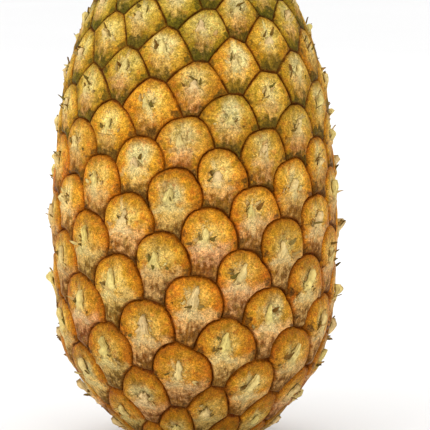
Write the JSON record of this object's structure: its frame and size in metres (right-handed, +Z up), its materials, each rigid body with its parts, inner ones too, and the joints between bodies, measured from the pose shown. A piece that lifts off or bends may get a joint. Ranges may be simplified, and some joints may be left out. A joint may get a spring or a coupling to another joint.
{
  "type": "pineapple",
  "caption": "Ripe whole pineapple standing upright, with spiral rows of rounded eyes and dry bract tips, a leafy green crown and a cut stem.",
  "frame": {"origin": "middle of the cut stem's face, on the surface that the fruit stands on", "axes": "+Z up the fruit's axis to the crown, -Y towards the side that was pictured, +X to the viewer's right"},
  "size_m": [0.2073, 0.2187, 0.3453],
  "materials": {
    "rind": "waxy golden orange skin of ripe fruit, green and brown in the grooves, straw coloured bract tips",
    "leaf": "satin grey-green leaf, paler underneath, with dry brown tips",
    "cut_stem": "rough, dry, fibrous cut"
  },
  "bodies": {
    "root": {"fruit": "rind", "crown": "leaf", "stem": "cut_stem"}
  },
  "joints": []
}
